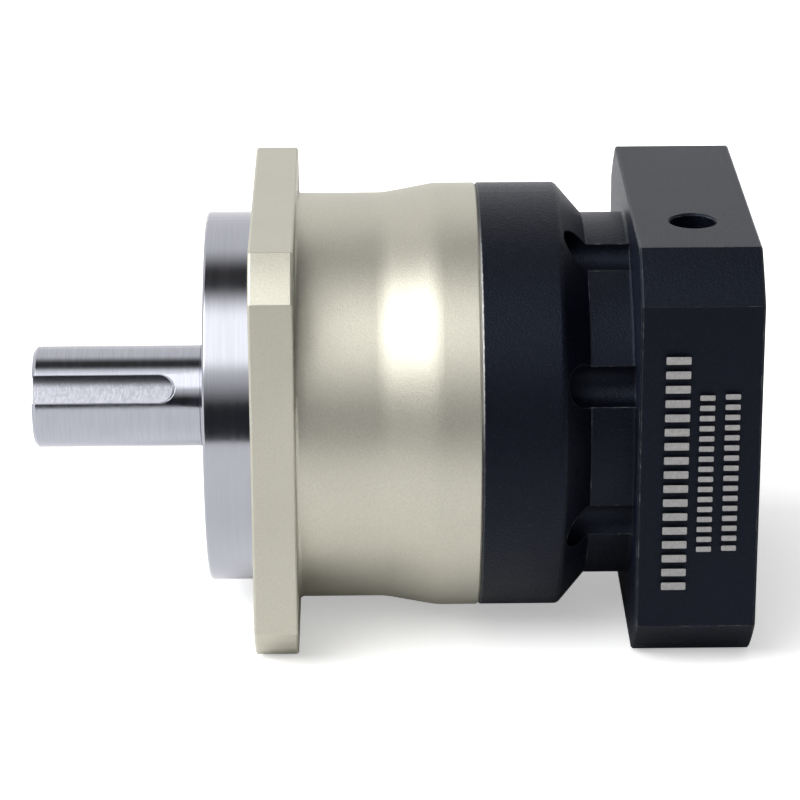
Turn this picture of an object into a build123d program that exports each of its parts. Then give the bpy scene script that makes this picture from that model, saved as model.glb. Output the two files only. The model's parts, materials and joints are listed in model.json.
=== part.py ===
from build123d import *
import math
import os

os.makedirs("parts", exist_ok=True)

# Single-stage coaxial planetary gearbox, size class 90, ratio 5, in millimetres.
# X is the gearbox axis and X = 0 is the output mounting face.
# The output shaft points to -X, the motor is fitted at +X, and +Z is up.

# Outer housing, output side
PILOT_R = 40.0
PILOT_X = -10.0
PILOT_CHAMFER = 0.45
FLANGE_SIDE = 90.0
FLANGE_THICK = 9.2
FLANGE_CORNER_R = 58.0
FLANGE_BOLT_PCD = 100.0
FLANGE_BOLT_R = 3.3
EDGE_BREAK = 0.4
ROOT_FILLET = 0.8
BODY_R = 43.85
FLARE_X0 = 27.7
FLARE_X1 = 38.6
FLARE_BEND_R = 16.0
RING_R = 45.85
JOINT_X = 47.8

# Bores of the output housing
SEAL_SHOULDER_X = -1.5
SEAL_SHOULDER_R = 22.0
RING_SEAT_X = 26.8
RING_SEAT_R = 36.5
BORE_CHAMFER = 0.5

# Motor adapter
SPIGOT_X = 43.2
CAGE_ROOM_R = 32.5
O_RING_X0 = 44.4
O_RING_X1 = 46.8
O_RING_FLOOR_R = 34.9
O_RING_SIDE_GAP = 0.2
O_RING_ROUND_SHARE = 0.4
RING_END_X = 64.8
NECK_R = 39.25
NECK_X = 70.5
RING_END_RADIUS = 1.5
MOTOR_FLANGE_X = 79.8
MOTOR_FACE_X = 105.0
MOTOR_CORNER_R = 57.3
WEB_BORE_R = 19.2
CLAMP_ROOM_R = 30.0
CLAMP_ROOM_X0 = 84.0
MOTOR_PILOT_R = 35.0
MOTOR_PILOT_DEPTH = 5.0
MOTOR_BOLT_PCD = 90.0
MOTOR_TAP_R = 2.5
MOTOR_TAP_DEPTH = 15.0
ACCESS_R = 4.85

# Screws joining the two halves; they are put in from the gap around the neck
HOUSING_SCREWS = 8
HOUSING_SCREW_PCD = 81.0
HOUSING_SCREW_PHASE = 22.5
HOUSING_SCREW_SEAT_X = 55.0
HOUSING_SCREW_LENGTH = 16.0
COUNTERBORE_R = 4.5
CLEARANCE_R = 2.75
M5_R = 2.5
M5_TAP_DRILL_R = 2.1
M5_THREAD_DEPTH = 10.5
M5_HEAD_R = 4.25
M5_HEAD_HEIGHT = 5.0
M5_HEX_FLATS = 4.0
M6_R = 3.0
M6_HEAD_R = 5.0
M6_HEAD_HEIGHT = 6.0
M6_HEX_FLATS = 5.0
THREAD_GAP = 0.02
HEX_DEPTH_SHARE = 0.55
SCREW_TIP_SHARE = 0.25
HEAD_RIM_SHARE = 0.08
DRILL_POINT = 0.6
CUT_OVER = 1.0

# Gear train: sun drives, ring is fixed, the carrier turns the output shaft
MODULE = 0.9
PRESSURE = math.radians(20.0)
SUN_TEETH = 18
PLANET_TEETH = 27
RING_TEETH = 72
PLANETS = 3
DEDENDUM = 1.25
THINNING = 0.08
TOOTH_CHAMFER = 0.35
SUN_PITCH_R = MODULE * SUN_TEETH / 2
PLANET_PITCH_R = MODULE * PLANET_TEETH / 2
RING_PITCH_R = MODULE * RING_TEETH / 2
ORBIT_R = SUN_PITCH_R + PLANET_PITCH_R
MESH_ANGLE = math.pi / 2
RING_X1 = SPIGOT_X
RING_BLANK_BORE_R = 16.0
SUN_X0 = 27.0
SUN_X1 = 43.0

# Carrier with the output shaft in one piece
SHAFT_R = 11.0
SHAFT_END_X = -48.0
SHAFT_CHAMFER = 0.8
RELIEF_X = -11.5
RELIEF_WIDTH = 0.6
RELIEF_DEPTH = 0.15
KEYWAY_WIDTH = 6.0
KEYWAY_DEPTH = 3.5
KEYWAY_END_X = -17.7
KEYWAY_TURN = 61.0
KEYWAY_BREAK = 0.2
CENTRE_HOLE_R = 3.4
CENTRE_HOLE_DEPTH = 19.0
SEAL_SEAT_R = 17.5
SEAL_SEAT_X = -9.5
BEARING_SEAT_X = -0.6
CARRIER_SHOULDER_R = 23.0
PLATE_R = 30.8
FRONT_PLATE_X0 = 19.5
FRONT_PLATE_X1 = 26.5
REAR_PLATE_X0 = 43.5
REAR_PLATE_X1 = 49.2
POCKET_R = 13.8
SUN_ROOM_R = 10.5
SUN_ROOM_X = 24.0
REAR_SHOULDER_R = 17.0
JOURNAL_END_X = 56.8
SUN_PASS_R = 11.0
PIN_R = 4.5
PIN_X0 = 21.0
PIN_X1 = 49.0

# Planet bearing
PLANET_BORE_R = 6.5
NEEDLES = 16
NEEDLE_R = 0.95
NEEDLE_X0 = 28.2
NEEDLE_X1 = 41.8
NEEDLE_CROWN = 0.19
WASHER_THICK = 0.8
WASHER_R = 10.2
WASHER_BORE_R = 4.6
PLANET_SIDE_GAP = 0.1

# Input shaft
RUNOUT_R = 6.9
RUNOUT_X = 45.0
SUN_NECK_R = 9.3
SUN_SHOULDER_X = 58.5
SUN_SHOULDER_R = 17.0
HUB_X = 84.4
HUB_R = 14.0
HUB_END_X = 99.5
MOTOR_BORE_R = 9.5
MOTOR_BORE_X = 64.0
HUB_SLIT_X = 86.5
HUB_SLIT_WIDTH = 1.5

# Clamp ring on the input hub; its screw stands upright under the access hole
CLAMP_X = 92.3
CLAMP_WIDTH = 15.0
CLAMP_R = 26.0
CLAMP_SLIT = 2.5
CLAMP_SCREW_Y = -18.2
CLAMP_SEAT_Z = 5.0
CLAMP_SCREW_LENGTH = 16.0
CLAMP_SCREW_CLEARANCE_R = 3.2
CLAMP_HEAD_ROOM_R = 5.3
CLAMP_TAP_DEPTH = 13.0

# Ball bearings: (first face X, width, bore radius, outer radius, ball radius, balls)
FRONT_BEARING = (0.0, 15.0, 20.0, 34.0, 3.95, 12)
REAR_BEARING = (50.0, 7.0, 15.0, 21.0, 1.75, 16)
INPUT_BEARING = (61.0, 13.0, 15.0, 27.5, 3.55, 11)
BALL_GAP = 0.06
CAGE_POCKET_GAP = 0.1
LAND_SHARE = 0.62
CAGE_SHARE = 0.27
CAGE_RIM_SHARE = 1.22
BEARING_CORNER = 0.6
BEARING_CORNER_SHARE = 0.3
SHIELD_THICK = 0.5
SHIELD_INSET = 0.5

# Retaining rings: (first face X, thickness, groove radius, ring depth, lug radius)
FRONT_CIRCLIP = (15.0, 2.5, 35.5, 3.6, 2.4)
INPUT_CIRCLIP = (74.0, 2.0, 29.0, 3.2, 2.1)
SHAFT_CIRCLIP = (74.0, 1.5, 14.3, 2.4, 1.7)
CIRCLIP_SIDE_GAP = 0.1
CIRCLIP_GAP_DEG = 26.0
PLIER_HOLE_SHARE = 0.45
LUG_SHIFT_SHARE = 0.2

# Shaft seals: (air face X, width, shaft radius, outer radius, direction into the box)
OUTPUT_SEAL = (-9.5, 8.0, 17.5, 26.0, 1)
INPUT_SEAL = (83.5, 7.0, 15.0, 27.5, -1)
SEAL_SHEET = 1.0
SEAL_FLANGE_RISE = 3.0
LIP_GAP = 0.05
SPRING_CORD_R = 0.55
SPRING_RISE = 2.1
SPRING_SETBACK = 5.4
# Section of the rubber lip: (distance from the air face, height over the shaft)
LIP_SECTION = [
    (0.2, SEAL_FLANGE_RISE), (SEAL_SHEET, SEAL_FLANGE_RISE), (2.2, 2.2), (4.4, 1.9), (4.8, 2.3),
    (6.5, 2.4), (6.5, 1.2), (5.0, LIP_GAP), (3.4, 0.9), (1.4, 0.9), (0.6, LIP_GAP), (0.2, 0.4),
]


def turned(points):
    """Turn a closed outline of (x, radius) points about the gearbox axis."""
    return revolve(Plane.XZ * Polygon(*points, align=None), Axis.X)


def drum(radius, x0, x1):
    """A plain cylinder on the gearbox axis."""
    face = Plane(origin=(x0, 0, 0), x_dir=(0, 1, 0), z_dir=(1, 0, 0)) * Circle(radius)
    return extrude(face, x1 - x0)


def tube(r_in, r_out, x0, x1):
    """A plain ring on the gearbox axis."""
    return drum(r_out, x0, x1) - drum(r_in, x0, x1)


def ring_with_corners(r_in, r_out, x0, x1, corner):
    """A ring whose four corners are chamfered."""
    return turned([
        (x0 + corner, r_in), (x1 - corner, r_in), (x1, r_in + corner), (x1, r_out - corner),
        (x1 - corner, r_out), (x0 + corner, r_out), (x0, r_out - corner), (x0, r_in + corner),
    ])


def hoop(x, radius, cord_r):
    """A round cord bent into a circle about the gearbox axis."""
    return revolve(Plane.XZ * Pos(x, radius) * Circle(cord_r), Axis.X)


def around(shape, count, first=0.0):
    """Copies of a shape spaced evenly about the gearbox axis."""
    return [shape.rotate(Axis.X, first + i * 360.0 / count) for i in range(count)]


def drilled(radius, depth, mouth, into):
    """Cutter for a blind hole from the origin: countersunk mouth, straight wall, drill point."""
    outline = [
        (-CUT_OVER, 0), (-CUT_OVER, radius + mouth), (0, radius + mouth), (mouth, radius),
        (depth, radius), (depth + radius * DRILL_POINT, 0),
    ]
    return turned([(into * x, r) for x, r in outline])


def square_flange(side, corner_r, x0, x1):
    """A square plate with its corners turned round and its outer edges broken."""
    blank = Pos((x0 + x1) / 2, 0, 0) * Box(x1 - x0, side, side)
    blank = blank & drum(corner_r, x0, x1)
    rims = blank.edges().group_by(Axis.X)
    return chamfer(rims[0] + rims[-1], EDGE_BREAK)


def socket_screw(radius, length, head_r, head_height, flats):
    """A socket head cap screw along X with the underside of its head at the origin."""
    end = -length
    tip = radius * SCREW_TIP_SHARE
    rim = head_r * HEAD_RIM_SHARE
    blank = turned([
        (end, 0), (end, radius - tip), (end + tip, radius), (0, radius), (0, head_r),
        (head_height - rim, head_r), (head_height, head_r - rim), (head_height, 0),
    ])
    top = Plane(origin=(head_height, 0, 0), z_dir=(-1, 0, 0))
    hexagon = top * RegularPolygon(flats / 2, 6, major_radius=False)
    return blank - extrude(hexagon, head_height * HEX_DEPTH_SHARE)


# --- housing ---------------------------------------------------------------------------


def corner_arc(before, corner, after, radius):
    """The arc that rounds one corner of an outline, between its two neighbours."""
    point = Vector(*corner)
    back = (Vector(*before) - point).normalized()
    ahead = (Vector(*after) - point).normalized()
    half = math.radians(back.get_angle(ahead)) / 2
    inward = (back + ahead).normalized()
    reach = radius / math.tan(half)
    middle = point + inward * (radius / math.sin(half) - radius)
    return ThreePointArc(point + back * reach, middle, point + ahead * reach)


def housing_outline():
    """Outside of the output housing from the pilot to the joint, with its conical flare."""
    flange_edge = (FLANGE_THICK, FLANGE_SIDE / 2)
    flange_foot = (FLANGE_THICK, BODY_R)
    flare_start = (FLARE_X0, BODY_R)
    flare_end = (FLARE_X1, RING_R)
    ring_end = (JOINT_X - EDGE_BREAK, RING_R)
    root = corner_arc(flange_edge, flange_foot, flare_start, ROOT_FILLET)
    hollow = corner_arc(flange_foot, flare_start, flare_end, FLARE_BEND_R)
    crown = corner_arc(flare_start, flare_end, ring_end, FLARE_BEND_R)
    inner_x = FLANGE_THICK / 2
    front = Polyline(
        root @ 0, (inner_x, BODY_R + ROOT_FILLET), (inner_x, PILOT_R),
        (PILOT_X + PILOT_CHAMFER, PILOT_R), (PILOT_X, PILOT_R - PILOT_CHAMFER), (PILOT_X, 0),
        (JOINT_X, 0), (JOINT_X, RING_R - EDGE_BREAK), ring_end, crown @ 1,
    )
    cone = Line(crown @ 0, hollow @ 1)
    barrel = Line(hollow @ 0, root @ 1)
    pieces = (front, crown, cone, hollow, barrel, root)
    return make_face([edge for piece in pieces for edge in piece.edges()])


def housing_bores():
    """Everything turned out of the inside of the output housing."""
    bearing_r = FRONT_BEARING[3]
    seal_r = OUTPUT_SEAL[3]
    clip_x, clip_thick, clip_groove_r = FRONT_CIRCLIP[:3]
    clip_end = clip_x + clip_thick + CIRCLIP_SIDE_GAP
    return turned([
        (PILOT_X - CUT_OVER, 0), (PILOT_X - CUT_OVER, seal_r + BORE_CHAMFER),
        (PILOT_X, seal_r + BORE_CHAMFER), (PILOT_X + BORE_CHAMFER, seal_r),
        (SEAL_SHOULDER_X, seal_r), (SEAL_SHOULDER_X, SEAL_SHOULDER_R), (0, SEAL_SHOULDER_R),
        (0, bearing_r), (clip_x, bearing_r), (clip_x, clip_groove_r), (clip_end, clip_groove_r),
        (clip_end, bearing_r), (RING_SEAT_X, bearing_r), (RING_SEAT_X, RING_SEAT_R),
        (JOINT_X - BORE_CHAMFER, RING_SEAT_R), (JOINT_X, RING_SEAT_R + BORE_CHAMFER),
        (JOINT_X + CUT_OVER, RING_SEAT_R + BORE_CHAMFER), (JOINT_X + CUT_OVER, 0),
    ])


def output_housing():
    body = revolve(Plane.XZ * housing_outline(), Axis.X)
    body += square_flange(FLANGE_SIDE, FLANGE_CORNER_R, 0, FLANGE_THICK)
    body -= housing_bores()
    bolt = drum(FLANGE_BOLT_R, -CUT_OVER, FLANGE_THICK + CUT_OVER)
    body -= around(Pos(0, FLANGE_BOLT_PCD / 2, 0) * bolt, 4, 45)
    thread = drum(M5_R, JOINT_X - M5_THREAD_DEPTH, JOINT_X)
    tapped = thread + drilled(M5_TAP_DRILL_R, M5_THREAD_DEPTH + M5_R, 0, -1).moved(Pos(JOINT_X, 0, 0))
    placed = Pos(0, HOUSING_SCREW_PCD / 2, 0) * tapped
    return body - around(placed, HOUSING_SCREWS, HOUSING_SCREW_PHASE)


def adapter_outline():
    """Outside of the motor adapter up to its square flange."""
    ring_end = (RING_END_X, RING_R)
    neck_start = (NECK_X, NECK_R)
    neck_end = (MOTOR_FLANGE_X, NECK_R)
    deep = MOTOR_FLANGE_X + CUT_OVER
    shoulder = corner_arc((JOINT_X, RING_R), ring_end, neck_start, RING_END_RADIUS)
    root = corner_arc(neck_start, neck_end, (MOTOR_FLANGE_X, FLANGE_SIDE / 2), ROOT_FILLET)
    front = Polyline(
        root @ 1, (deep, NECK_R + ROOT_FILLET), (deep, 0), (SPIGOT_X, 0),
        (SPIGOT_X, RING_SEAT_R - BORE_CHAMFER), (SPIGOT_X + BORE_CHAMFER, RING_SEAT_R),
        (O_RING_X0, RING_SEAT_R), (O_RING_X0, O_RING_FLOOR_R), (O_RING_X1, O_RING_FLOOR_R),
        (O_RING_X1, RING_SEAT_R), (JOINT_X, RING_SEAT_R), (JOINT_X, RING_R - EDGE_BREAK),
        (JOINT_X + EDGE_BREAK, RING_R), shoulder @ 0,
    )
    slope = Polyline(shoulder @ 1, neck_start, root @ 0)
    pieces = (front, shoulder, slope, root)
    return make_face([edge for piece in pieces for edge in piece.edges()])


def adapter_bores():
    """Everything turned out of the inside of the motor adapter."""
    rear_x0, _, _, rear_r = REAR_BEARING[:4]
    rear_x1 = rear_x0 + REAR_BEARING[1]
    input_x0 = INPUT_BEARING[0]
    input_r = INPUT_BEARING[3]
    clip_x, clip_thick, clip_groove_r = INPUT_CIRCLIP[:3]
    clip_end = clip_x + clip_thick + CIRCLIP_SIDE_GAP
    recess_x = MOTOR_FACE_X - MOTOR_PILOT_DEPTH
    return turned([
        (SPIGOT_X - CUT_OVER, 0), (SPIGOT_X - CUT_OVER, CAGE_ROOM_R), (rear_x0, CAGE_ROOM_R),
        (rear_x0, rear_r), (rear_x1, rear_r), (rear_x1, WEB_BORE_R), (input_x0, WEB_BORE_R),
        (input_x0, input_r), (clip_x, input_r), (clip_x, clip_groove_r), (clip_end, clip_groove_r),
        (clip_end, input_r), (CLAMP_ROOM_X0, input_r), (CLAMP_ROOM_X0, CLAMP_ROOM_R),
        (recess_x, CLAMP_ROOM_R), (recess_x, MOTOR_PILOT_R),
        (MOTOR_FACE_X - BORE_CHAMFER, MOTOR_PILOT_R), (MOTOR_FACE_X, MOTOR_PILOT_R + BORE_CHAMFER),
        (MOTOR_FACE_X + CUT_OVER, MOTOR_PILOT_R + BORE_CHAMFER), (MOTOR_FACE_X + CUT_OVER, 0),
    ])


def motor_adapter():
    body = revolve(Plane.XZ * adapter_outline(), Axis.X)
    body += square_flange(FLANGE_SIDE, MOTOR_CORNER_R, MOTOR_FLANGE_X, MOTOR_FACE_X)
    body -= adapter_bores()
    screw_way = drum(CLEARANCE_R, JOINT_X - CUT_OVER, HOUSING_SCREW_SEAT_X)
    screw_way += drum(COUNTERBORE_R, HOUSING_SCREW_SEAT_X, MOTOR_FLANGE_X)
    body -= around(Pos(0, HOUSING_SCREW_PCD / 2, 0) * screw_way, HOUSING_SCREWS, HOUSING_SCREW_PHASE)
    tap = drilled(MOTOR_TAP_R, MOTOR_TAP_DEPTH, BORE_CHAMFER, -1)
    body -= around(Pos(MOTOR_FACE_X, MOTOR_BOLT_PCD / 2, 0) * tap, 4, 45)
    return body - access_hole()


def access_hole():
    """Cutter for the upright hole that lets a key reach the clamp screw."""
    depth = FLANGE_SIDE / 2
    side_room = math.sqrt(CLAMP_ROOM_R ** 2 - CLAMP_SCREW_Y ** 2)
    outline = [
        (0, -CUT_OVER), (ACCESS_R + EDGE_BREAK, -CUT_OVER), (ACCESS_R + EDGE_BREAK, 0),
        (ACCESS_R, EDGE_BREAK), (ACCESS_R, depth - side_room / 2), (0, depth - side_room / 2),
    ]
    bit = revolve(Plane.XZ * Polygon(*[(r, -z) for r, z in outline], align=None), Axis.Z)
    return Pos(CLAMP_X, CLAMP_SCREW_Y, depth) * bit


def housing_o_ring():
    """The sealing cord on the spigot, squeezed between the groove floor and the bore."""
    height = RING_SEAT_R - O_RING_FLOOR_R
    width = O_RING_X1 - O_RING_X0 - 2 * O_RING_SIDE_GAP
    centre = Pos((O_RING_X0 + O_RING_X1) / 2, O_RING_FLOOR_R + height / 2)
    cord = RectangleRounded(width, height - THREAD_GAP, height * O_RING_ROUND_SHARE)
    return revolve(Plane.XZ * centre * cord, Axis.X)


def housing_screws():
    screw = socket_screw(M5_R - THREAD_GAP, HOUSING_SCREW_LENGTH, M5_HEAD_R, M5_HEAD_HEIGHT, M5_HEX_FLATS)
    placed = Pos(HOUSING_SCREW_SEAT_X, HOUSING_SCREW_PCD / 2, 0) * screw
    return around(placed, HOUSING_SCREWS, HOUSING_SCREW_PHASE)


# --- gears -----------------------------------------------------------------------------


def involute(angle):
    return math.tan(angle) - angle


def half_angle(teeth, radius, widen):
    """Half the angle a tooth takes up at a radius; widen is added to its pitch thickness."""
    pitch_r = MODULE * teeth / 2
    base_r = pitch_r * math.cos(PRESSURE)
    at_pitch = math.pi / (2 * teeth) + widen / (2 * pitch_r) + involute(PRESSURE)
    return at_pitch - involute(math.acos(base_r / radius))


def polar(radius, angle):
    return (radius * math.cos(angle), radius * math.sin(angle))


def one_tooth(teeth, inner_r, outer_r, widen, centre):
    """Edges of one tooth and the root that follows it; each flank is an arc of three points."""
    base_r = MODULE * teeth / 2 * math.cos(PRESSURE)
    start_r = max(inner_r, base_r)
    radii = [start_r, (start_r + outer_r) / 2, outer_r]
    halves = [half_angle(teeth, r, widen) for r in radii]
    rise = [polar(r, centre - h) for r, h in zip(radii, halves)]
    fall = [polar(r, centre + h) for r, h in zip(radii, halves)]
    pitch = 2 * math.pi / teeth
    foot = polar(inner_r, centre + halves[0])
    following = polar(inner_r, centre + pitch - halves[0])
    edges = [
        ThreePointArc(rise[0], rise[1], rise[2]),
        ThreePointArc(rise[2], polar(outer_r, centre), fall[2]),
        ThreePointArc(fall[2], fall[1], fall[0]),
        ThreePointArc(foot, polar(inner_r, centre + pitch / 2), following),
    ]
    if base_r > inner_r:
        edges.append(Line(polar(inner_r, centre - halves[0]), rise[0]))
        edges.append(Line(fall[0], foot))
    return edges


def toothed_bar(teeth, inner_r, outer_r, widen, x0, x1):
    """A toothed bar on the gearbox axis with one tooth pointing straight up."""
    edges = []
    for i in range(teeth):
        edges += one_tooth(teeth, inner_r, outer_r, widen, MESH_ANGLE + i * 2 * math.pi / teeth)
    plane = Plane(origin=(x0, 0, 0), x_dir=(0, 1, 0), z_dir=(1, 0, 0))
    return extrude(plane * make_face(edges), x1 - x0)


def external_gear(teeth, x0, x1):
    """A spur gear blank whose tooth ends are chamfered."""
    pitch_r = MODULE * teeth / 2
    tip_r = pitch_r + MODULE
    bar = toothed_bar(teeth, pitch_r - DEDENDUM * MODULE, tip_r, -THINNING, x0, x1)
    blank = turned([
        (x0, 0), (x0, tip_r - TOOTH_CHAMFER), (x0 + TOOTH_CHAMFER, tip_r + THREAD_GAP),
        (x1 - TOOTH_CHAMFER, tip_r + THREAD_GAP), (x1, tip_r - TOOTH_CHAMFER), (x1, 0),
    ])
    return bar & blank


def ring_gear():
    """The fixed internal gear, pressed into the housing."""
    blank = ring_with_corners(RING_BLANK_BORE_R, RING_SEAT_R, RING_SEAT_X, RING_X1, EDGE_BREAK)
    spaces = toothed_bar(
        RING_TEETH, RING_PITCH_R - MODULE, RING_PITCH_R + DEDENDUM * MODULE, THINNING,
        RING_SEAT_X - CUT_OVER, RING_X1 + CUT_OVER,
    )
    return blank - spaces


def planet_gear():
    """A planet at the top of its orbit."""
    x0 = FRONT_PLATE_X1 + WASHER_THICK + PLANET_SIDE_GAP
    x1 = REAR_PLATE_X0 - WASHER_THICK - PLANET_SIDE_GAP
    gear = external_gear(PLANET_TEETH, x0, x1) - drum(PLANET_BORE_R, x0 - CUT_OVER, x1 + CUT_OVER)
    return Pos(0, 0, ORBIT_R) * gear


def needle_set():
    """The full ring of rollers inside the top planet."""
    lane = (PIN_R + PLANET_BORE_R) / 2
    crown = NEEDLE_CROWN
    roller = turned([
        (NEEDLE_X0, 0), (NEEDLE_X0, NEEDLE_R - crown), (NEEDLE_X0 + crown, NEEDLE_R),
        (NEEDLE_X1 - crown, NEEDLE_R), (NEEDLE_X1, NEEDLE_R - crown), (NEEDLE_X1, 0),
    ])
    rollers = around(Pos(0, 0, lane) * roller, NEEDLES)
    return [Pos(0, 0, ORBIT_R) * item for item in rollers]


# --- carrier ---------------------------------------------------------------------------


def carrier_blank():
    """Output shaft, seats, both plates and the rear journal as one turned piece."""
    groove_x0 = RELIEF_X - RELIEF_WIDTH / 2
    groove_x1 = RELIEF_X + RELIEF_WIDTH / 2
    shoulder_x = FRONT_BEARING[0] + FRONT_BEARING[1]
    rear_seat_x = REAR_BEARING[0]
    return turned([
        (SHAFT_END_X, 0), (SHAFT_END_X, SHAFT_R - SHAFT_CHAMFER), (SHAFT_END_X + SHAFT_CHAMFER, SHAFT_R),
        (groove_x0, SHAFT_R), (groove_x0, SHAFT_R - RELIEF_DEPTH), (groove_x1, SHAFT_R - RELIEF_DEPTH),
        (groove_x1, SHAFT_R), (SEAL_SEAT_X, SHAFT_R), (SEAL_SEAT_X, SEAL_SEAT_R - EDGE_BREAK),
        (SEAL_SEAT_X + EDGE_BREAK, SEAL_SEAT_R), (BEARING_SEAT_X, SEAL_SEAT_R),
        (BEARING_SEAT_X, FRONT_BEARING[2] - EDGE_BREAK), (0, FRONT_BEARING[2]),
        (shoulder_x, FRONT_BEARING[2]), (shoulder_x, CARRIER_SHOULDER_R),
        (FRONT_PLATE_X0, CARRIER_SHOULDER_R), (FRONT_PLATE_X0, PLATE_R - EDGE_BREAK),
        (FRONT_PLATE_X0 + EDGE_BREAK, PLATE_R), (REAR_PLATE_X1 - EDGE_BREAK, PLATE_R),
        (REAR_PLATE_X1, PLATE_R - EDGE_BREAK), (REAR_PLATE_X1, REAR_SHOULDER_R),
        (rear_seat_x, REAR_SHOULDER_R), (rear_seat_x, REAR_BEARING[2]),
        (JOURNAL_END_X - EDGE_BREAK, REAR_BEARING[2]), (JOURNAL_END_X, REAR_BEARING[2] - EDGE_BREAK),
        (JOURNAL_END_X, SUN_PASS_R), (REAR_PLATE_X0, SUN_PASS_R), (REAR_PLATE_X0, SUN_ROOM_R),
        (SUN_ROOM_X, SUN_ROOM_R), (SUN_ROOM_X, 0),
    ])


def planet_pocket():
    """Cutter for the window that takes the top planet from outside."""
    width = REAR_PLATE_X0 - FRONT_PLATE_X1
    middle = (REAR_PLATE_X0 + FRONT_PLATE_X1) / 2
    seat = Pos(0, 0, ORBIT_R) * drum(POCKET_R, FRONT_PLATE_X1, REAR_PLATE_X0)
    gate = Pos(middle, 0, ORBIT_R + PLATE_R / 2) * Box(width, 2 * POCKET_R, PLATE_R)
    return seat + gate


def keyway():
    """Cutter for the keyway, open at the shaft end, round at its inner end, with broken edges."""
    turn_x = KEYWAY_END_X - KEYWAY_WIDTH / 2
    floor = SHAFT_R - KEYWAY_DEPTH
    start = SHAFT_END_X - CUT_OVER
    outline = Pos((start + turn_x) / 2, 0, 0) * Rectangle(turn_x - start, KEYWAY_WIDTH)
    outline += Pos(turn_x, 0, 0) * Circle(KEYWAY_WIDTH / 2)
    slot = extrude(Pos(0, 0, floor) * outline, KEYWAY_DEPTH + CUT_OVER)
    edge = math.sqrt(SHAFT_R ** 2 - (KEYWAY_WIDTH / 2) ** 2) - KEYWAY_BREAK
    slot += extrude(Pos(0, 0, edge) * outline, KEYWAY_BREAK + CUT_OVER, taper=-45)
    return slot.rotate(Axis.X, KEYWAY_TURN)


def carrier_shaft():
    body = carrier_blank()
    body -= around(planet_pocket(), PLANETS)
    pin_hole = Pos(0, 0, ORBIT_R) * drum(PIN_R, PIN_X0, REAR_PLATE_X1 + CUT_OVER)
    body -= around(pin_hole, PLANETS)
    body -= Pos(SHAFT_END_X, 0, 0) * drilled(CENTRE_HOLE_R, CENTRE_HOLE_DEPTH, SHAFT_CHAMFER, 1)
    return body - keyway()


def planet_pins():
    pin = turned([
        (PIN_X0, 0), (PIN_X0, PIN_R - EDGE_BREAK), (PIN_X0 + EDGE_BREAK, PIN_R),
        (PIN_X1 - EDGE_BREAK, PIN_R), (PIN_X1, PIN_R - EDGE_BREAK), (PIN_X1, 0),
    ])
    return around(Pos(0, 0, ORBIT_R) * pin, PLANETS)


def thrust_washers():
    front = tube(WASHER_BORE_R, WASHER_R, FRONT_PLATE_X1, FRONT_PLATE_X1 + WASHER_THICK)
    rear = tube(WASHER_BORE_R, WASHER_R, REAR_PLATE_X0 - WASHER_THICK, REAR_PLATE_X0)
    raised = Pos(0, 0, ORBIT_R)
    return around(raised * front, PLANETS) + around(raised * rear, PLANETS)


# --- input side ------------------------------------------------------------------------


def sun_shaft():
    """Sun gear, input journal and slit clamp hub as one piece."""
    seat_r = INPUT_BEARING[2]
    seat_x = INPUT_BEARING[0]
    clip_x, clip_thick, clip_groove_r = SHAFT_CIRCLIP[:3]
    clip_end = clip_x + clip_thick + CIRCLIP_SIDE_GAP
    body = turned([
        (SUN_X1 - EDGE_BREAK, 0), (SUN_X1 - EDGE_BREAK, RUNOUT_R), (RUNOUT_X, RUNOUT_R),
        (RUNOUT_X, SUN_NECK_R - EDGE_BREAK), (RUNOUT_X + EDGE_BREAK, SUN_NECK_R),
        (SUN_SHOULDER_X, SUN_NECK_R), (SUN_SHOULDER_X, SUN_SHOULDER_R), (seat_x, SUN_SHOULDER_R),
        (seat_x, seat_r), (clip_x, seat_r), (clip_x, clip_groove_r), (clip_end, clip_groove_r),
        (clip_end, seat_r), (HUB_X, seat_r), (HUB_X, HUB_R), (HUB_END_X - BORE_CHAMFER, HUB_R),
        (HUB_END_X, HUB_R - BORE_CHAMFER), (HUB_END_X, MOTOR_BORE_R + BORE_CHAMFER),
        (HUB_END_X - BORE_CHAMFER, MOTOR_BORE_R), (MOTOR_BORE_X, MOTOR_BORE_R), (MOTOR_BORE_X, 0),
    ])
    body += external_gear(SUN_TEETH, SUN_X0, SUN_X1)
    length = HUB_END_X - HUB_SLIT_X + CUT_OVER
    slit = Pos(HUB_SLIT_X + length / 2, 0, HUB_R) * Box(length, HUB_SLIT_WIDTH, 2 * HUB_R - MOTOR_BORE_R)
    return body - around(slit, 4)


def clamp_collar():
    """The split ring that closes the slit hub on the motor shaft."""
    x0 = CLAMP_X - CLAMP_WIDTH / 2
    x1 = CLAMP_X + CLAMP_WIDTH / 2
    ring = ring_with_corners(HUB_R, CLAMP_R, x0, x1, BORE_CHAMFER)
    reach = CLAMP_R - HUB_R + 2 * CUT_OVER
    ring -= Pos(CLAMP_X, -(HUB_R + CLAMP_R) / 2, 0) * Box(CLAMP_WIDTH + CUT_OVER, reach, CLAMP_SLIT)
    above = Pos(0, 0, CLAMP_SEAT_Z / 2) * Cylinder(CLAMP_SCREW_CLEARANCE_R, CLAMP_SEAT_Z)
    below = Pos(0, 0, -CLAMP_TAP_DEPTH / 2) * Cylinder(M6_R, CLAMP_TAP_DEPTH)
    room = Pos(0, 0, CLAMP_SEAT_Z + CLAMP_R / 2) * Cylinder(CLAMP_HEAD_ROOM_R, CLAMP_R)
    return ring - Pos(CLAMP_X, CLAMP_SCREW_Y, 0) * (above + below + room)


def clamp_screw():
    screw = socket_screw(M6_R - THREAD_GAP, CLAMP_SCREW_LENGTH, M6_HEAD_R, M6_HEAD_HEIGHT, M6_HEX_FLATS)
    return Pos(CLAMP_X, CLAMP_SCREW_Y, CLAMP_SEAT_Z) * screw.rotate(Axis.Y, -90)


# --- bearings, rings and seals ---------------------------------------------------------


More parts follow.
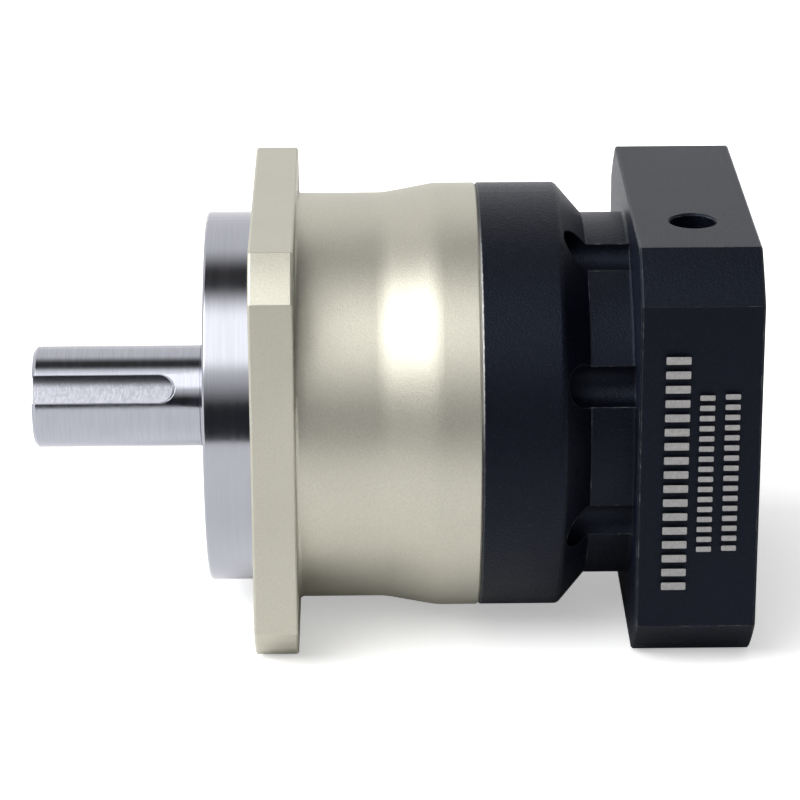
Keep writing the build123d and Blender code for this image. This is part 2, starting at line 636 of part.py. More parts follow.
def bearing_groove(spec):
    """The ball track as a hoop, used to cut both rings."""
    x0, width, bore_r, outer_r, ball_r, _ = spec
    return hoop(x0 + width / 2, (bore_r + outer_r) / 2, ball_r + BALL_GAP)


def bearing_outer_ring(spec):
    x0, width, bore_r, outer_r, ball_r, _ = spec
    land_r = (bore_r + outer_r) / 2 + ball_r * LAND_SHARE
    corner = min(BEARING_CORNER, (outer_r - land_r) * BEARING_CORNER_SHARE)
    return ring_with_corners(land_r, outer_r, x0, x0 + width, corner) - bearing_groove(spec)


def bearing_inner_ring(spec):
    x0, width, bore_r, outer_r, ball_r, _ = spec
    land_r = (bore_r + outer_r) / 2 - ball_r * LAND_SHARE
    corner = min(BEARING_CORNER, (land_r - bore_r) * BEARING_CORNER_SHARE)
    return ring_with_corners(bore_r, land_r, x0, x0 + width, corner) - bearing_groove(spec)


def bearing_balls(spec, grow=0.0):
    x0, width, bore_r, outer_r, ball_r, count = spec
    ball = Pos(x0 + width / 2, 0, (bore_r + outer_r) / 2) * Sphere(ball_r + grow)
    return around(ball, count)


def bearing_cage(spec):
    """A ring between the two tracks with a round pocket for each ball."""
    x0, width, bore_r, outer_r, ball_r, _ = spec
    lane = (bore_r + outer_r) / 2
    half = ball_r * CAGE_SHARE
    rim = ball_r * CAGE_RIM_SHARE
    middle = x0 + width / 2
    return tube(lane - half, lane + half, middle - rim, middle + rim) - bearing_balls(spec, CAGE_POCKET_GAP)


def input_bearing_shields():
    """The two sheet washers held in the outer ring of the input bearing."""
    x0, width, bore_r, outer_r, ball_r, _ = INPUT_BEARING
    lane = (bore_r + outer_r) / 2
    outer = lane + ball_r * LAND_SHARE
    inner = lane - ball_r * LAND_SHARE + SHIELD_INSET
    first = tube(inner, outer, x0 + SHIELD_INSET, x0 + SHIELD_INSET + SHIELD_THICK)
    last_x = x0 + width - SHIELD_INSET
    return [first, tube(inner, outer, last_x - SHIELD_THICK, last_x)]


def circlip(spec, inward):
    """A retaining ring in its groove; the lugs point inward in a bore and outward on a shaft."""
    x0, thick, groove_r, depth, lug_r = spec
    toward = -1 if inward else 1
    free_r = groove_r + toward * depth
    ring = tube(min(free_r, groove_r), max(free_r, groove_r), x0, x0 + thick)
    gap_half = CIRCLIP_GAP_DEG / 2
    reach = 2 * max(free_r, groove_r)
    gap_width = 2 * free_r * math.tan(math.radians(gap_half))
    ring -= Pos(x0 + thick / 2, 0, -reach / 2) * Box(thick + CUT_OVER, gap_width, reach)
    lug_centre_r = free_r + toward * lug_r * LUG_SHIFT_SHARE
    lug_turn = math.degrees(math.asin((gap_width / 2 + lug_r) / lug_centre_r))
    lug = Pos(0, 0, -lug_centre_r) * tube(lug_r * PLIER_HOLE_SHARE, lug_r, x0, x0 + thick)
    hole = Pos(0, 0, -lug_centre_r) * drum(lug_r * PLIER_HOLE_SHARE, x0 - CUT_OVER, x0 + thick + CUT_OVER)
    for turn in (-lug_turn, lug_turn):
        ring += lug.rotate(Axis.X, turn)
        ring -= hole.rotate(Axis.X, turn)
    return ring


def seal_case(spec):
    """The pressed sheet shell of a shaft seal."""
    air_x, width, shaft_r, outer_r, into = spec
    rim_r = shaft_r + SEAL_FLANGE_RISE
    outline = [
        (0, rim_r), (0, outer_r - EDGE_BREAK), (EDGE_BREAK, outer_r), (width, outer_r),
        (width, outer_r - SEAL_SHEET), (SEAL_SHEET, outer_r - SEAL_SHEET), (SEAL_SHEET, rim_r),
    ]
    return turned([(air_x + into * s, r) for s, r in outline])


def seal_spring(spec):
    air_x, _, shaft_r, _, into = spec
    return hoop(air_x + into * SPRING_SETBACK, shaft_r + SPRING_RISE, SPRING_CORD_R)


def seal_lip(spec):
    """The rubber of a shaft seal: dust lip, waist and main lip under the spring."""
    air_x, _, shaft_r, _, into = spec
    section = [(air_x + into * s, shaft_r + r) for s, r in LIP_SECTION]
    return turned(section) - seal_spring(spec)


def save(name, shape):
    """Write one piece, or one group of separate pieces, as a STEP file."""
    items = shape if isinstance(shape, list) else [shape]
    solids = [solid for item in items for solid in item.solids()]
    whole = solids[0] if len(solids) == 1 else Compound(children=solids)
    whole.label = name
    export_step(whole, f"parts/{name}.step")


save("output_housing", output_housing())
save("ring_gear", ring_gear())
save("motor_adapter", motor_adapter())
save("housing_o_ring", housing_o_ring())
save("housing_screws", housing_screws())

save("carrier_shaft", carrier_shaft())
save("planet_pins", planet_pins())
save("thrust_washers", thrust_washers())
for number in range(PLANETS):
    angle = number * 360.0 / PLANETS
    save(f"planet_gear_{number + 1}", planet_gear().rotate(Axis.X, angle))
    save(f"needle_set_{number + 1}", [item.rotate(Axis.X, angle) for item in needle_set()])

save("sun_shaft", sun_shaft())
save("clamp_collar", clamp_collar())
save("clamp_screw", clamp_screw())

for label, spec in (("front", FRONT_BEARING), ("rear", REAR_BEARING), ("input", INPUT_BEARING)):
    save(f"{label}_bearing_outer_ring", bearing_outer_ring(spec))
    save(f"{label}_bearing_inner_ring", bearing_inner_ring(spec))
    save(f"{label}_bearing_balls", bearing_balls(spec))
    save(f"{label}_bearing_cage", bearing_cage(spec))
save("input_bearing_shields", input_bearing_shields())

save("front_bearing_circlip", circlip(FRONT_CIRCLIP, True))
save("input_bearing_circlip", circlip(INPUT_CIRCLIP, True))
save("input_shaft_circlip", circlip(SHAFT_CIRCLIP, False))

for label, spec in (("output", OUTPUT_SEAL), ("input", INPUT_SEAL)):
    save(f"{label}_seal_case", seal_case(spec))
    save(f"{label}_seal_lip", seal_lip(spec))
    save(f"{label}_seal_spring", seal_spring(spec))
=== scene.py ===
import bmesh
import bpy
import json
import math
from mathutils import Matrix, Vector


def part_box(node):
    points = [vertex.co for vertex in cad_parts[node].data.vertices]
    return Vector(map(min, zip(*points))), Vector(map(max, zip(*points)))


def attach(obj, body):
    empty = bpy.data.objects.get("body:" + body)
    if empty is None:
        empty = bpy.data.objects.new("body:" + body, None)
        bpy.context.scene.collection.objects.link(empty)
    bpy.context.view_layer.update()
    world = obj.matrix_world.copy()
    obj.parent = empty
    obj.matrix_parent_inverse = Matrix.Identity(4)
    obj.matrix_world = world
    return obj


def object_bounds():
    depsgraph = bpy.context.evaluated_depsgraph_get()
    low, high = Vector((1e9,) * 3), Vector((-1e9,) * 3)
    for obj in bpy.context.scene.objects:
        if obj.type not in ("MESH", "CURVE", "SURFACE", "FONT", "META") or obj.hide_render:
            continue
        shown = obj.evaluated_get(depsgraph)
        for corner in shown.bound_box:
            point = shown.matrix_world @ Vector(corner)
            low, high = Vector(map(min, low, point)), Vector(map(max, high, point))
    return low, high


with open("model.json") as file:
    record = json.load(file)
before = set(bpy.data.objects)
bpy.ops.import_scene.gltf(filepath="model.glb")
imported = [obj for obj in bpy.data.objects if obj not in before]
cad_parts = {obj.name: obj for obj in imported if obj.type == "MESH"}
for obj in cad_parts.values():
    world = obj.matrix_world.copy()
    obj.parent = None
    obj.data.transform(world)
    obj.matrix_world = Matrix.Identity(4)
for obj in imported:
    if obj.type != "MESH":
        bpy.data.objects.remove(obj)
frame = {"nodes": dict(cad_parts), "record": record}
cad_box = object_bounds()
MM = 0.001

# Stations of the CAD model in metres, read back from its nodes.
JOINT_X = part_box("output_housing")[1].x
# Half the height of the whole adapter. Its round ring sets this, 0.85 mm past the flange's side faces.
ADAPTER_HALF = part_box("motor_adapter")[1].z
SHAFT_END_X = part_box("carrier_shaft")[0].x
MOUNTS = {mount["name"]: mount for mount in frame["record"]["mounts"]}
PILOT_R = MOUNTS["output_pilot"]["dims"]["r_mm"] * MM
SHAFT_R = MOUNTS["output_shaft"]["dims"]["r_mm"] * MM
KEYWAY_TURN = math.radians(61.0)
KEYWAY_DEPTH = 3.5 * MM
KEYWAY_HALF = 3.0 * MM
KEYWAY_REACH = 33.0 * MM
RING_SKIN_R = (45.1 * MM, 45.4 * MM)

# Stage: the half size of the floor, and the dark card on the viewer's side.
FLOOR_HALF = 4.0
CARD_HALF = 1.5
CARD_Y = -0.4
CARD_TOP = 0.115


# --- node helpers ----------------------------------------------------------------------


def put(tree, kind, inputs=None, **props):
    """Add one node, set its properties, and link or fill its inputs."""
    made = tree.nodes.new(kind)
    for key, value in props.items():
        setattr(made, key, value)
    for key, value in (inputs or {}).items():
        if isinstance(value, bpy.types.NodeSocket):
            tree.links.new(value, made.inputs[key])
        else:
            made.inputs[key].default_value = value
    return made


def calc(tree, operation, *values):
    return put(tree, "ShaderNodeMath", dict(enumerate(values)), operation=operation).outputs[0]


def between(tree, value, low, high, out_low=0.0, out_high=1.0):
    """Smooth step of a value from one range to another."""
    inputs = {"Value": value, "From Min": low, "From Max": high, "To Min": out_low, "To Max": out_high}
    return put(tree, "ShaderNodeMapRange", inputs, interpolation_type="SMOOTHSTEP").outputs[0]


def blend_colour(tree, factor, first, second):
    mixer = put(tree, "ShaderNodeMix", data_type="RGBA")
    for socket, value in ((mixer.inputs[0], factor), (mixer.inputs[6], first), (mixer.inputs[7], second)):
        if isinstance(value, bpy.types.NodeSocket):
            tree.links.new(value, socket)
        else:
            socket.default_value = value if isinstance(value, float) else (*value[:3], 1.0)
    return mixer.outputs[2]


def blend_value(tree, factor, first, second):
    """first where factor is 0 and second where it is 1."""
    return put(tree, "ShaderNodeMix", {0: factor, 2: first, 3: second}, data_type="FLOAT").outputs[0]


def noise(tree, where, scale, detail=2.0, rough=0.55):
    inputs = {"Vector": where, "Scale": scale, "Detail": detail, "Roughness": rough}
    return put(tree, "ShaderNodeTexNoise", inputs).outputs["Fac"]


def stretched(tree, where, factors):
    """Coordinates scaled by a factor on each axis, to draw a noise out into lines."""
    return put(tree, "ShaderNodeVectorMath", {0: where, 1: factors}, operation="MULTIPLY").outputs[0]


class Surface:
    """One procedural material: it keeps the colour, roughness and height being built up."""

    def __init__(self, name, colour, rough, metallic=1.0):
        self.material = bpy.data.materials.new(name)
        self.material.use_nodes = True
        self.tree = self.material.node_tree
        self.tree.nodes.clear()
        self.where = put(self.tree, "ShaderNodeTexCoord").outputs["Object"]
        split = put(self.tree, "ShaderNodeSeparateXYZ", {0: self.where})
        self.x, self.y, self.z = split.outputs
        self.colour = put(self.tree, "ShaderNodeRGB").outputs[0]
        self.colour.default_value = (*colour, 1.0)
        self.rough = rough
        self.metallic = metallic
        self.height = None
        self.soft_normal = None
        self.sockets = {}

    def radius(self):
        """Distance from the gearbox axis."""
        squares = calc(self.tree, "ADD", calc(self.tree, "MULTIPLY", self.y, self.y),
                       calc(self.tree, "MULTIPLY", self.z, self.z))
        return calc(self.tree, "SQRT", squares)

    def around_axis(self, line_scale, arc_scale):
        """Coordinates that run along the axis and round it without a seam, for lathe lines."""
        radius = self.radius()
        outward = calc(self.tree, "MULTIPLY", radius, 1.3)
        along = calc(self.tree, "MULTIPLY", calc(self.tree, "ADD", self.x, outward), line_scale)
        circle = [calc(self.tree, "MULTIPLY", calc(self.tree, "DIVIDE", side, radius), arc_scale)
                  for side in (self.y, self.z)]
        return put(self.tree, "ShaderNodeCombineXYZ", {0: along, 1: circle[0], 2: circle[1]}).outputs[0]

    def shade(self, factor, amount):
        """Lighten and darken the colour by a noise around its middle."""
        level = between(self.tree, factor, 0.3, 0.7, 1.0 - amount, 1.0 + amount)
        scaled = put(self.tree, "ShaderNodeVectorMath", {0: self.colour, "Scale": level}, operation="SCALE")
        self.colour = scaled.outputs[0]

    def tint(self, factor, colour):
        self.colour = blend_colour(self.tree, factor, self.colour, colour)

    def roughen(self, factor, low, high):
        self.rough = between(self.tree, factor, 0.3, 0.7, low, high)

    def raise_by(self, factor, amount):
        """Add a height in metres."""
        step = calc(self.tree, "MULTIPLY", factor, amount)
        self.height = step if self.height is None else calc(self.tree, "ADD", self.height, step)

    def edges(self, radius):
        """Rounded shading normal at sharp edges, and a mask of those edges."""
        soft = put(self.tree, "ShaderNodeBevel", {"Radius": radius}, samples=6).outputs[0]
        hard = put(self.tree, "ShaderNodeNewGeometry").outputs["Normal"]
        same = put(self.tree, "ShaderNodeVectorMath", {0: soft, 1: hard}, operation="DOT_PRODUCT")
        self.soft_normal = soft
        return between(self.tree, same.outputs["Value"], 0.995, 0.9)

    def done(self):
        shader = put(self.tree, "ShaderNodeBsdfPrincipled", {"Base Color": self.colour, **self.sockets})
        for key, value in (("Roughness", self.rough), ("Metallic", self.metallic)):
            if isinstance(value, bpy.types.NodeSocket):
                self.tree.links.new(value, shader.inputs[key])
            else:
                shader.inputs[key].default_value = value
        normal = self.soft_normal
        if self.height is not None:
            bump = put(self.tree, "ShaderNodeBump", {"Height": self.height, "Distance": 1.0})
            if normal is not None:
                self.tree.links.new(normal, bump.inputs["Normal"])
            normal = bump.outputs[0]
        if normal is not None:
            self.tree.links.new(normal, shader.inputs["Normal"])
        put(self.tree, "ShaderNodeOutputMaterial", {"Surface": shader.outputs[0]})
        return self.material


# --- materials -------------------------------------------------------------------------


def blasted(surface, grain, fine, scale=1500.0):
    """The even sparkle of a bead-blasted face as height; its two noises are returned for colour and
    roughness.
    """
    coarse_noise = noise(surface.tree, surface.where, scale, 3.0, 0.6)
    fine_noise = noise(surface.tree, surface.where, 4200.0, 2.0, 0.5)
    surface.raise_by(coarse_noise, grain)
    surface.raise_by(fine_noise, fine)
    return coarse_noise, fine_noise


def housing_material():
    """Champagne bead-blasted body; the pilot and all bores are turned bare."""
    s = Surface("champagne_housing", (0.55, 0.535, 0.457), 0.45)
    coarse, fine = blasted(s, 15.0e-6, 33.0e-6, 2050.0)
    s.shade(coarse, 0.025)
    s.shade(fine, 0.075)
    s.shade(noise(s.tree, s.where, 45.0, 3.0), 0.02)
    edge = s.edges(0.35 * MM)
    s.tint(calc(s.tree, "MULTIPLY", edge, 0.45), (0.7, 0.68, 0.6))
    lines = noise(s.tree, s.around_axis(2600.0, 2.0), 1.0, 3.0, 0.6)
    broad = noise(s.tree, s.around_axis(900.0, 1.0), 1.0, 2.0, 0.5)
    front = between(s.tree, s.x, 0.02 * MM, -0.02 * MM)
    inside = between(s.tree, s.radius(), PILOT_R - 3.0 * MM, PILOT_R - 3.1 * MM)
    bare = calc(s.tree, "MAXIMUM", front, inside)
    steel = blend_colour(s.tree, lines, (0.375, 0.382, 0.425), (0.445, 0.452, 0.495))
    s.colour = blend_colour(s.tree, bare, s.colour, steel)
    champagne_rough = between(s.tree, fine, 0.3, 0.7, 0.41, 0.48)
    steel_rough = between(s.tree, broad, 0.3, 0.7, 0.13, 0.16)
    s.rough = blend_value(s.tree, bare, champagne_rough, steel_rough)
    s.height = blend_value(s.tree, bare, s.height, calc(s.tree, "MULTIPLY", lines, 0.5e-6))
    return s.done()


def adapter_material():
    """Black anodised over a fine blast, rubbed bare in places along its sharp edges."""
    s = Surface("black_adapter", (0.001, 0.0013, 0.0034), 0.38, 0.0)
    s.sockets["IOR"] = 1.3
    s.sockets["Specular Tint"] = (0.6, 0.71, 1.0, 1.0)
    s.sockets["Sheen Weight"] = 0.02
    s.sockets["Sheen Roughness"] = 0.4
    s.sockets["Sheen Tint"] = (0.35, 0.5, 1.0, 1.0)
    coarse, fine = blasted(s, 110.0e-6, 90.0e-6, 2200.0)
    s.shade(fine, 0.35)
    s.shade(noise(s.tree, s.where, 60.0, 3.0), 0.12)
    # Pale specks in the colour: partly the blast grain, partly painted glints that the grains would catch.
    painted_glint_specks = between(s.tree, noise(s.tree, s.where, 3600.0, 1.0, 0.5), 0.64, 0.76)
    s.tint(calc(s.tree, "MULTIPLY", painted_glint_specks, 0.6), (0.03, 0.034, 0.045))
    s.roughen(coarse, 0.32, 0.43)
    edge = s.edges(0.35 * MM)
    patches = between(s.tree, noise(s.tree, s.where, 260.0, 5.0, 0.7), 0.52, 0.66)
    rubbed = calc(s.tree, "MULTIPLY", edge, calc(s.tree, "ADD", calc(s.tree, "MULTIPLY", patches, 0.7), 0.12))
    ragged = calc(s.tree, "MULTIPLY", noise(s.tree, s.where, 900.0, 4.0, 0.7), 0.4 * MM)
    past_joint = calc(s.tree, "ADD", calc(s.tree, "SUBTRACT", s.x, JOINT_X), ragged)
    near_joint = between(s.tree, past_joint, 0.7 * MM, 0.45 * MM)
    outside = between(s.tree, s.radius(), *RING_SKIN_R)
    # The bare line at the joint is strongest over the upper half, from 2 mm to 45 mm above the axis.
    upper_half = calc(s.tree, "MULTIPLY", between(s.tree, s.z, 2.0 * MM, 20.0 * MM),
                   between(s.tree, s.z, 45.0 * MM, 36.0 * MM))
    strength = calc(s.tree, "ADD", calc(s.tree, "MULTIPLY", upper_half, 0.92), 0.08)
    joint_wear = calc(s.tree, "MULTIPLY", calc(s.tree, "MULTIPLY", near_joint, outside), strength)
    bare = calc(s.tree, "MAXIMUM", calc(s.tree, "MULTIPLY", rubbed, 0.55), joint_wear)
    s.tint(bare, (0.5, 0.5, 0.5))
    s.metallic = calc(s.tree, "MULTIPLY", bare, 0.9)
    return s.done()


def shaft_material():
    """Ground steel with fine turning lines; the keyway floor keeps its milling arcs, with painted shade along
    its upper wall.
    """
    s = Surface("shaft_steel", (0.41, 0.418, 0.468), 0.14)
    lines = noise(s.tree, s.around_axis(3000.0, 1.5), 1.0, 3.0, 0.6)
    broad = noise(s.tree, s.around_axis(700.0, 2.0), 1.0, 2.0, 0.5)
    s.shade(lines, 0.05)
    s.roughen(broad, 0.12, 0.16)
    s.raise_by(lines, 0.45e-6)
    across = calc(s.tree, "ADD", calc(s.tree, "MULTIPLY", s.y, math.cos(KEYWAY_TURN)),
                  calc(s.tree, "MULTIPLY", s.z, math.sin(KEYWAY_TURN)))
    up = calc(s.tree, "SUBTRACT", calc(s.tree, "MULTIPLY", s.z, math.cos(KEYWAY_TURN)),
              calc(s.tree, "MULTIPLY", s.y, math.sin(KEYWAY_TURN)))
    floor_r = SHAFT_R - KEYWAY_DEPTH
    floor = calc(s.tree, "MULTIPLY", between(s.tree, up, floor_r + 0.06 * MM, floor_r + 0.03 * MM),
                 between(s.tree, up, floor_r - 0.06 * MM, floor_r - 0.03 * MM))
    shaft_end = between(s.tree, s.x, SHAFT_END_X + KEYWAY_REACH, SHAFT_END_X + KEYWAY_REACH - 0.1 * MM)
    across_squared = calc(s.tree, "MULTIPLY", across, across)
    walls = between(s.tree, across_squared, (KEYWAY_HALF * 1.1) ** 2, (KEYWAY_HALF * 1.05) ** 2)
    floor = calc(s.tree, "MULTIPLY", calc(s.tree, "MULTIPLY", floor, shaft_end), walls)
    wander = calc(s.tree, "MULTIPLY", noise(s.tree, s.where, 900.0, 3.0), 0.9 * MM)
    rest = calc(s.tree, "SUBTRACT", (KEYWAY_HALF * 1.08) ** 2, across_squared)
    arc = calc(s.tree, "SQRT", calc(s.tree, "MAXIMUM", rest, 0.0))
    travel = calc(s.tree, "ADD", calc(s.tree, "SUBTRACT", s.x, arc), wander)
    streaks = noise(s.tree, put(s.tree, "ShaderNodeCombineXYZ", {0: travel}).outputs[0], 3200.0, 3.0, 0.7)
    blotch = noise(s.tree, s.where, 1100.0, 4.0, 0.65)
    patchy = between(s.tree, blotch, 0.35, 0.6, 0.3, 1.0)
    marks = calc(s.tree, "MULTIPLY", between(s.tree, streaks, 0.3, 0.7), patchy)
    keyway_floor_colour = blend_colour(s.tree, marks, (0.35, 0.355, 0.4), (0.62, 0.63, 0.69))
    # Painted shade: the keyway floor turns dark towards its upper wall, where that wall shades it.
    corner = between(s.tree, across, KEYWAY_HALF * 0.2, KEYWAY_HALF * 0.75, 0.0, 0.85)
    keyway_floor_colour = blend_colour(s.tree, corner, keyway_floor_colour, (0.06, 0.06, 0.07))
    s.colour = blend_colour(s.tree, floor, s.colour, keyway_floor_colour)
    s.rough = blend_value(s.tree, floor, s.rough, 0.34)
    s.height = blend_value(s.tree, floor, s.height, calc(s.tree, "MULTIPLY", marks, 14.0e-6))
    s.edges(0.2 * MM)
    return s.done()


def turned_metal(name, colour, rough, line_scale=2600.0, depth=0.5e-6, variation=0.05):
    """A lathe-turned metal: fine lines round the axis and slow changes of tone."""
    s = Surface(name, colour, rough)
    lines = noise(s.tree, s.around_axis(line_scale, 2.0), 1.0, 3.0, 0.6)
    s.shade(lines, variation)
    s.shade(noise(s.tree, s.where, 120.0, 3.0), variation)
    s.roughen(noise(s.tree, s.where, 500.0, 3.0), rough * 0.8, rough * 1.25)
    s.raise_by(lines, depth)
    s.edges(0.15 * MM)
    return s.done()


def grained_metal(name, colour, rough, metallic=1.0, grain=1.5e-6, worn=None, variation=0.08):
    """A metal with an even grain in all directions and rubbed edges."""
    s = Surface(name, colour, rough, metallic)
    coarse, fine = blasted(s, grain, grain)
    s.shade(fine, variation)
    s.shade(noise(s.tree, s.where, 150.0, 3.0), variation)
    s.roughen(coarse, rough * 0.82, rough * 1.2)
    edge = s.edges(0.15 * MM)
    if worn is not None:
        patches = between(s.tree, noise(s.tree, s.where, 500.0, 4.0, 0.7), 0.45, 0.62)
        s.tint(calc(s.tree, "MULTIPLY", edge, patches), worn)
    return s.done()


def rubber_material():
    s = Surface("seal_rubber", (0.018, 0.018, 0.019), 0.6, 0.0)
    s.shade(noise(s.tree, s.where, 900.0, 4.0), 0.3)
    grain = noise(s.tree, s.where, 2800.0, 2.0)
    s.roughen(grain, 0.5, 0.7)
    s.raise_by(grain, 1.5e-6)
    return s.done()


def etched_material():
    """Laser-etched marks: pale, dry and slightly uneven."""
    s = Surface("etched_grey", (0.27, 0.265, 0.265), 0.6, 0.0)
    s.shade(noise(s.tree, s.where, 1600.0, 4.0, 0.7), 0.14)
    s.shade(noise(s.tree, stretched(s.tree, s.where, (5000.0, 1.0, 1.0)), 1.0, 1.0), 0.06)
    s.roughen(noise(s.tree, s.where, 900.0, 2.0), 0.5, 0.7)
    return s.done()


def floor_material():
    """Pale floor: white to the camera; all other rays see a painted shadow, a darker strip under the object.
    """
    s = Surface("pale_floor", (0.88, 0.88, 0.88), 0.7, 0.0)
    s.shade(noise(s.tree, s.where, 3.0, 2.0), 0.004)
    seen = put(s.tree, "ShaderNodeLightPath").outputs["Is Camera Ray"]
    # Painted shadow under the object: strong under the black side, slight under the body, and not seen by the
    # camera.
    beneath = calc(s.tree, "MULTIPLY", between(s.tree, s.y, -0.052, -0.038),
                   between(s.tree, s.y, 0.052, 0.038))
    shaded = between(s.tree, s.x, 0.058, 0.072, 0.1, 0.75)
    shaded = calc(s.tree, "MULTIPLY", shaded, between(s.tree, s.x, 0.0, 0.01))
    painted_shadow_strip = calc(s.tree, "MULTIPLY", beneath, calc(s.tree, "SUBTRACT", 1.0, seen))
    s.tint(calc(s.tree, "MULTIPLY", painted_shadow_strip, shaded), (0.04, 0.04, 0.04))
    s.sockets["Emission Color"] = (1.0, 1.0, 1.0, 1.0)
    s.sockets["Emission Strength"] = calc(s.tree, "MULTIPLY", seen, 0.42)
    return s.done()


SLOT_MATERIALS = {
    "champagne_housing": housing_material(),
    "black_adapter": adapter_material(),
    "shaft_steel": shaft_material(),
    "gear_steel": turned_metal("gear_steel", (0.44, 0.44, 0.45), 0.28),
    "sun_steel": turned_metal("sun_steel", (0.5, 0.49, 0.485), 0.2),
    "bearing_steel": turned_metal("bearing_steel", (0.68, 0.68, 0.7), 0.1, 3400.0, 0.25e-6, 0.03),
    "cage_brass": turned_metal("cage_brass", (0.7, 0.5, 0.22), 0.25),
    "washer_bronze": grained_metal("washer_bronze", (0.55, 0.35, 0.18), 0.3),
    "screw_black": grained_metal("screw_black", (0.03, 0.03, 0.032), 0.38, 0.6, 1.0e-6, (0.3, 0.3, 0.3)),
    "spring_steel": grained_metal("spring_steel", (0.16, 0.16, 0.17), 0.4, 0.9, 1.2e-6, (0.4, 0.4, 0.4)),
    "collar_steel": turned_metal("collar_steel", (0.27, 0.27, 0.28), 0.32),
    "seal_rubber": rubber_material(),
}
SLOT_OF = {part["node"]: part["material_slot"] for part in frame["record"]["subparts"]}

for name, node in frame["nodes"].items():
    node.data.materials.clear()
    node.data.materials.append(SLOT_MATERIALS[SLOT_OF[name]])


# --- plain etched marks on the viewer's side of the motor flange ----------------------


def etched_bars(name, rows, lift=0.03 * MM, thick=0.05 * MM, corner=0.25 * MM, points=16):
    """Thin plates (x centre, x width, z centre, z length) beside the motor flange, in one mesh.

    Known fault: they are placed by ADAPTER_HALF, so they stand 0.83 mm clear of the flange's side
    face instead of lying on it.
    """
    mesh = bmesh.new()
    for x, width, z, length in rows:
        ring = []
        for index in range(points):
            turn = 2 * math.pi * (index + 0.5) / points
            side_x = math.copysign(width / 2 - corner, math.cos(turn))
            side_z = math.copysign(length / 2 - corner, math.sin(turn))
            ring.append((x + side_x + corner * math.cos(turn), z + side_z + corner * math.sin(turn)))
        front = [mesh.verts.new((px, -ADAPTER_HALF - lift, pz)) for px, pz in ring]
        back = [mesh.verts.new((px, -ADAPTER_HALF - lift + thick, pz)) for px, pz in ring]
        mesh.faces.new(front)
        mesh.faces.new(list(reversed(back)))
        for i in range(points):
            j = (i + 1) % points
            mesh.faces.new((front[j], front[i], back[i], back[j]))
    bmesh.ops.recalc_face_normals(mesh, faces=mesh.faces)
    data = bpy.data.meshes.new(name)
    mesh.to_mesh(data)
    mesh.free()
    piece = bpy.data.objects.new(name, data)
    bpy.context.scene.collection.objects.link(piece)
    data.materials.append(etched_material())
    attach(piece, "housing")
    return piece


def dashes(x, width, start, lengths, gap):
    """A column of bars of the given lengths, from a start height down."""
    rows = []
    z = start
    for length in lengths:
        rows.append((x, width, z - length / 2, length))
        z -= length + gap
    return rows


MARK_ROWS = dashes(87.5 * MM, 5.1 * MM, 25.0 * MM, [1.65 * MM] * 17, 1.48 * MM)
MARK_ROWS += dashes(93.6 * MM, 3.1 * MM, 16.6 * MM, [1.15 * MM] * 16, 1.09 * MM)
MARK_ROWS += dashes(98.8 * MM, 3.1 * MM, 16.8 * MM, [1.15 * MM] * 16, 1.09 * MM)
etched_bars("etched_marks", MARK_ROWS)


# --- stage: floor, light and camera ----------------------------------------------------


def make_floor():
    mesh = bpy.data.meshes.new("floor")
    corners = [(-FLOOR_HALF, -FLOOR_HALF, 0), (FLOOR_HALF, -FLOOR_HALF, 0),
               (FLOOR_HALF, FLOOR_HALF, 0), (-FLOOR_HALF, FLOOR_HALF, 0)]
    mesh.from_pydata(corners, [], [(0, 1, 2, 3)])
    mesh.materials.append(floor_material())
    floor = bpy.data.objects.new("floor", mesh)
    floor.location.z = cad_box[0][2]
    bpy.context.scene.collection.objects.link(floor)


def make_flag():
    """A dark card out of shot, standing on the floor on the viewer's side; it casts no shadow and darkens
    only the reflections from there.
    """
    low = cad_box[0][2] + 1.0 * MM
    mesh = bpy.data.meshes.new("flag_card")
    corners = [(-CARD_HALF, CARD_Y, low), (CARD_HALF, CARD_Y, low),
               (CARD_HALF, CARD_Y, CARD_TOP), (-CARD_HALF, CARD_Y, CARD_TOP)]
    mesh.from_pydata(corners, [], [(0, 1, 2, 3)])
    cloth = Surface("flag_cloth", (0.006, 0.007, 0.012), 0.9, 0.0)
    cloth.shade(noise(cloth.tree, cloth.where, 300.0, 3.0), 0.2)
    mesh.materials.append(cloth.done())
    card = bpy.data.objects.new("flag_card", mesh)
    card.visible_camera = False
    card.visible_diffuse = False
    card.visible_shadow = False
    bpy.context.scene.collection.objects.link(card)


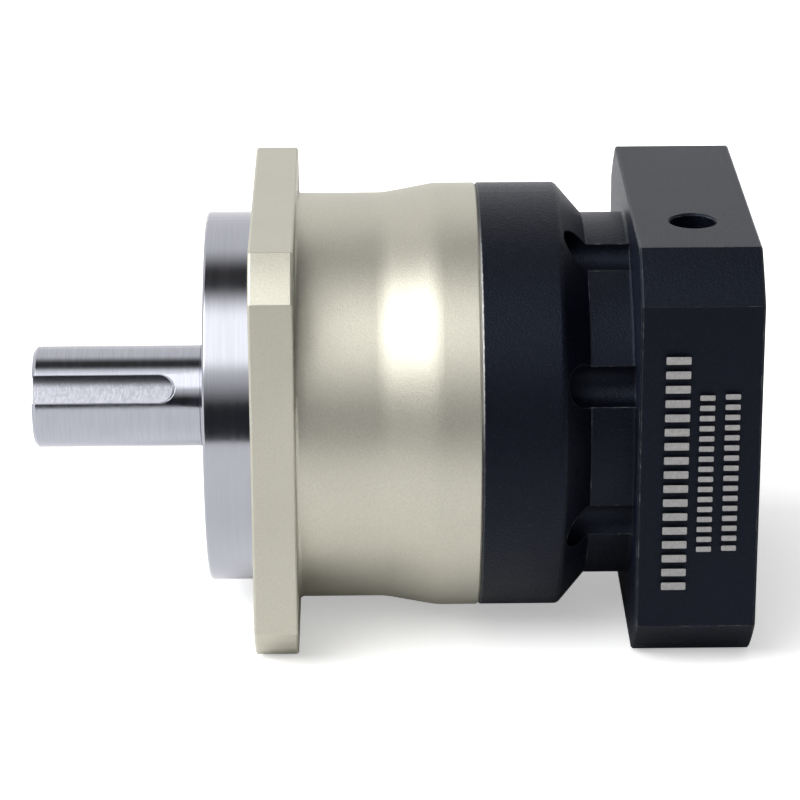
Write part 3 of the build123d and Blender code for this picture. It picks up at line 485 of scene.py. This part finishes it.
def make_world():
    """Soft studio light in bands round the gearbox axis, by degrees up from the viewer's horizon.

    From below: a pale room, a dark band at the horizon, the pale room again, the key light from the
    left, a dark gap overhead and the pale room behind. The camera itself sees plain white.
    """
    world = bpy.data.worlds.new("studio")
    world.use_nodes = True
    bpy.context.scene.world = world
    tree = world.node_tree
    tree.nodes.clear()
    direction = put(tree, "ShaderNodeTexCoord").outputs["Generated"]
    split = put(tree, "ShaderNodeSeparateXYZ", {0: direction})
    dx, dy, dz = split.outputs
    front = calc(tree, "MULTIPLY", dy, -1.0)
    turn = calc(tree, "DEGREES", calc(tree, "ARCTAN2", dz, front))
    side = calc(tree, "DEGREES", calc(tree, "ARCSINE", dx))
    key = between(tree, side, 1.5, -1.8, 0.15, 2.5)
    key = calc(tree, "ADD", key, between(tree, side, -9.0, -17.0, 0.0, 3.0))
    key = calc(tree, "ADD", key, between(tree, side, -32.0, -44.0, 0.0, 2.2))
    key = blend_value(tree, between(tree, side, -64.0, -76.0), key, 0.5)
    lifted = between(tree, side, -24.0, -40.0)
    low_edge = calc(tree, "MULTIPLY", lifted, 5.0)
    high_edge = calc(tree, "MULTIPLY", lifted, 18.0)
    room = between(tree, side, 12.0, 40.0, 1.0, 0.75)
    level = room
    dimmed = calc(tree, "MULTIPLY", room, 0.95)
    bands = (
        (-9.0, -6.0, 0.035, None),
        (12.0, 36.0, dimmed, None),
        (33.0, 44.0, key, low_edge),
        (68.0, 93.0, 0.05, high_edge),
        (103.0, 126.0, room, None),
    )
    for start, end, value, shift in bands:
        at = turn if shift is None else calc(tree, "SUBTRACT", turn, shift)
        level = blend_value(tree, between(tree, at, start, end), level, value)
    camera_ray = put(tree, "ShaderNodeLightPath").outputs["Is Camera Ray"]
    level = blend_value(tree, camera_ray, level, 1.0)
    shader = put(tree, "ShaderNodeBackground", {"Color": (1.0, 1.0, 1.0, 1.0), "Strength": level})
    put(tree, "ShaderNodeOutputWorld", {"Surface": shader.outputs[0]})


def make_camera():
    """The photograph's point of view, on the axis plane and 21 degrees up."""
    yaw = math.radians(0.607)
    pitch = math.radians(21.104)
    roll = math.radians(-0.275)
    place = Vector((23.88, -697.95, 267.89)) * MM
    forward = Vector((math.sin(yaw) * math.cos(pitch), math.cos(yaw) * math.cos(pitch), -math.sin(pitch)))
    right = forward.cross(Vector((0, 0, 1))).normalized()
    up = right.cross(forward)
    tilted_right = right * math.cos(roll) + up * math.sin(roll)
    tilted_up = up * math.cos(roll) - right * math.sin(roll)
    turn = Matrix((tilted_right, tilted_up, -forward)).transposed()
    data = bpy.data.cameras.new("camera")
    data.sensor_width = 36.0
    data.lens = 154.4
    data.clip_end = 50.0
    camera = bpy.data.objects.new("camera", data)
    camera.matrix_world = Matrix.Translation(place) @ turn.to_4x4()
    bpy.context.scene.collection.objects.link(camera)
    bpy.context.scene.camera = camera


make_floor()
make_flag()
make_world()
make_camera()
bpy.context.scene.view_settings.view_transform = "Standard"
